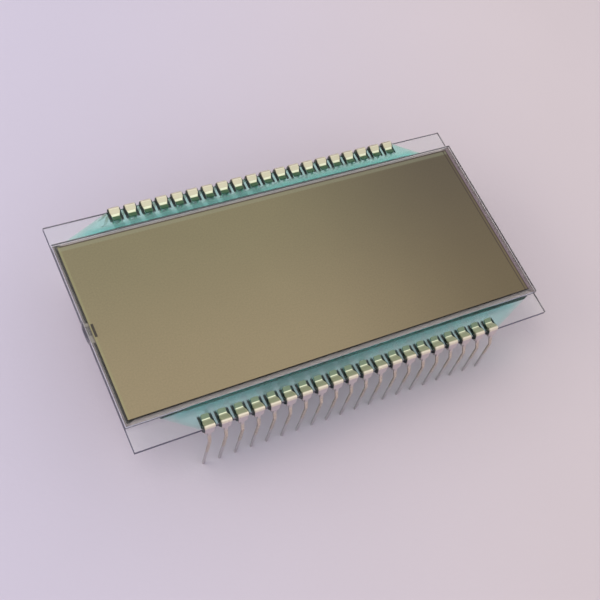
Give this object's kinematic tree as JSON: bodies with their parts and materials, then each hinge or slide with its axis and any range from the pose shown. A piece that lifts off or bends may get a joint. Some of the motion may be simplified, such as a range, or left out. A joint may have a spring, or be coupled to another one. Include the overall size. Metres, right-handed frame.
{
  "type": "segment lcd screen",
  "caption": "Flat rectangular segment display: two bonded glass plates with polarizer films, resin-covered ledges and a row of bent spring-clip pins along each long edge.",
  "frame": {"origin": "on the plane of the pin feet, at the middle of the panel", "axes": "+X along the pin rows, away from the filling-port end; +Y across the rows, towards the upper edge of the digits; +Z out of the viewing face"},
  "size_m": [0.0701, 0.0408, 0.01],
  "materials": {
    "cell_glass": "polished soda-lime float glass with ground edges",
    "seal_epoxy": "screen-printed epoxy line seen through the glass",
    "end_seal_resin": "clear cured resin",
    "liquid_crystal": "clear fluid film",
    "clear_oxide": "transparent conductive film",
    "silver_epoxy": "silver-filled epoxy",
    "front_polarizer_film": "satin olive-brown polarizer film",
    "rear_polarizer_film": "smooth film laminate",
    "reflector_foil": "diffuse silver foil",
    "edge_resin": "clear teal-tinted cured resin",
    "pin_metal": "bright tin plating on spring strip"
  },
  "bodies": {
    "root": {"rear_glass": "cell_glass", "front_glass": "cell_glass", "perimeter_seal": "seal_epoxy", "port_dam": "seal_epoxy", "end_seal": "end_seal_resin", "liquid_crystal": "liquid_crystal", "segment_electrodes": "clear_oxide", "common_electrode": "clear_oxide", "crossover_dot_front": "silver_epoxy", "crossover_dot_back": "silver_epoxy", "front_polarizer": "front_polarizer_film", "rear_polarizer": "rear_polarizer_film", "reflector": "reflector_foil", "front_resin_bead": "edge_resin", "back_resin_bead": "edge_resin", "pin_01": "pin_metal", "pin_02": "pin_metal", "pin_03": "pin_metal", "pin_04": "pin_metal", "pin_05": "pin_metal", "pin_06": "pin_metal", "pin_07": "pin_metal", "pin_08": "pin_metal", "pin_09": "pin_metal", "pin_10": "pin_metal", "pin_11": "pin_metal", "pin_12": "pin_metal", "pin_13": "pin_metal", "pin_14": "pin_metal", "pin_15": "pin_metal", "pin_16": "pin_metal", "pin_17": "pin_metal", "pin_18": "pin_metal", "pin_19": "pin_metal", "pin_20": "pin_metal", "pin_21": "pin_metal", "pin_22": "pin_metal", "pin_23": "pin_metal", "pin_24": "pin_metal", "pin_25": "pin_metal", "pin_26": "pin_metal", "pin_27": "pin_metal", "pin_28": "pin_metal", "pin_29": "pin_metal", "pin_30": "pin_metal", "pin_31": "pin_metal", "pin_32": "pin_metal", "pin_33": "pin_metal", "pin_34": "pin_metal", "pin_35": "pin_metal", "pin_36": "pin_metal", "pin_37": "pin_metal", "pin_38": "pin_metal", "pin_39": "pin_metal", "pin_40": "pin_metal"}
  },
  "joints": []
}
